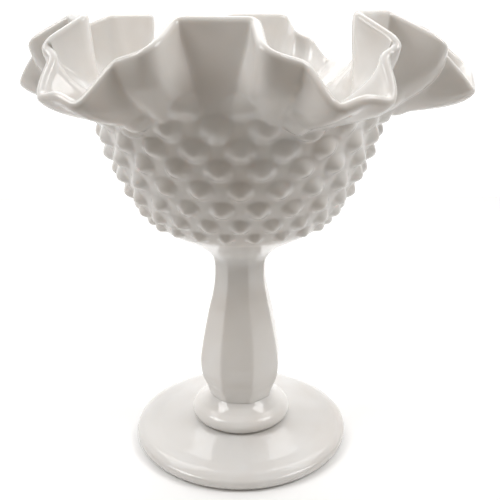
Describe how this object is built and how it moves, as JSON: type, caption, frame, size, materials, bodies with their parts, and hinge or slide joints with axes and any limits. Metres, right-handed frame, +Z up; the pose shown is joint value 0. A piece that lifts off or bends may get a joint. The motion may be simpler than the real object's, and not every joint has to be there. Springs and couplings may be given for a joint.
{
  "type": "footed hobnail glass compote with crimped rim",
  "caption": "Footed open compote of opaque white glass: disc foot, eight-sided baluster stem and a hobnail bowl with a deeply crimped, flared rim.",
  "frame": {"origin": "centre of the resting plane of the foot, on the axis of the stem", "axes": "+Z up along the stem's axis, -Y towards the front, +X to the right"},
  "size_m": [0.1452, 0.1341, 0.1523],
  "materials": {
    "milk_glass": "opaque white pressed glass, fire-polished and glossy"
  },
  "bodies": {
    "root": {"foot": "milk_glass", "collar": "milk_glass", "stem": "milk_glass", "bowl": "milk_glass"}
  },
  "joints": []
}
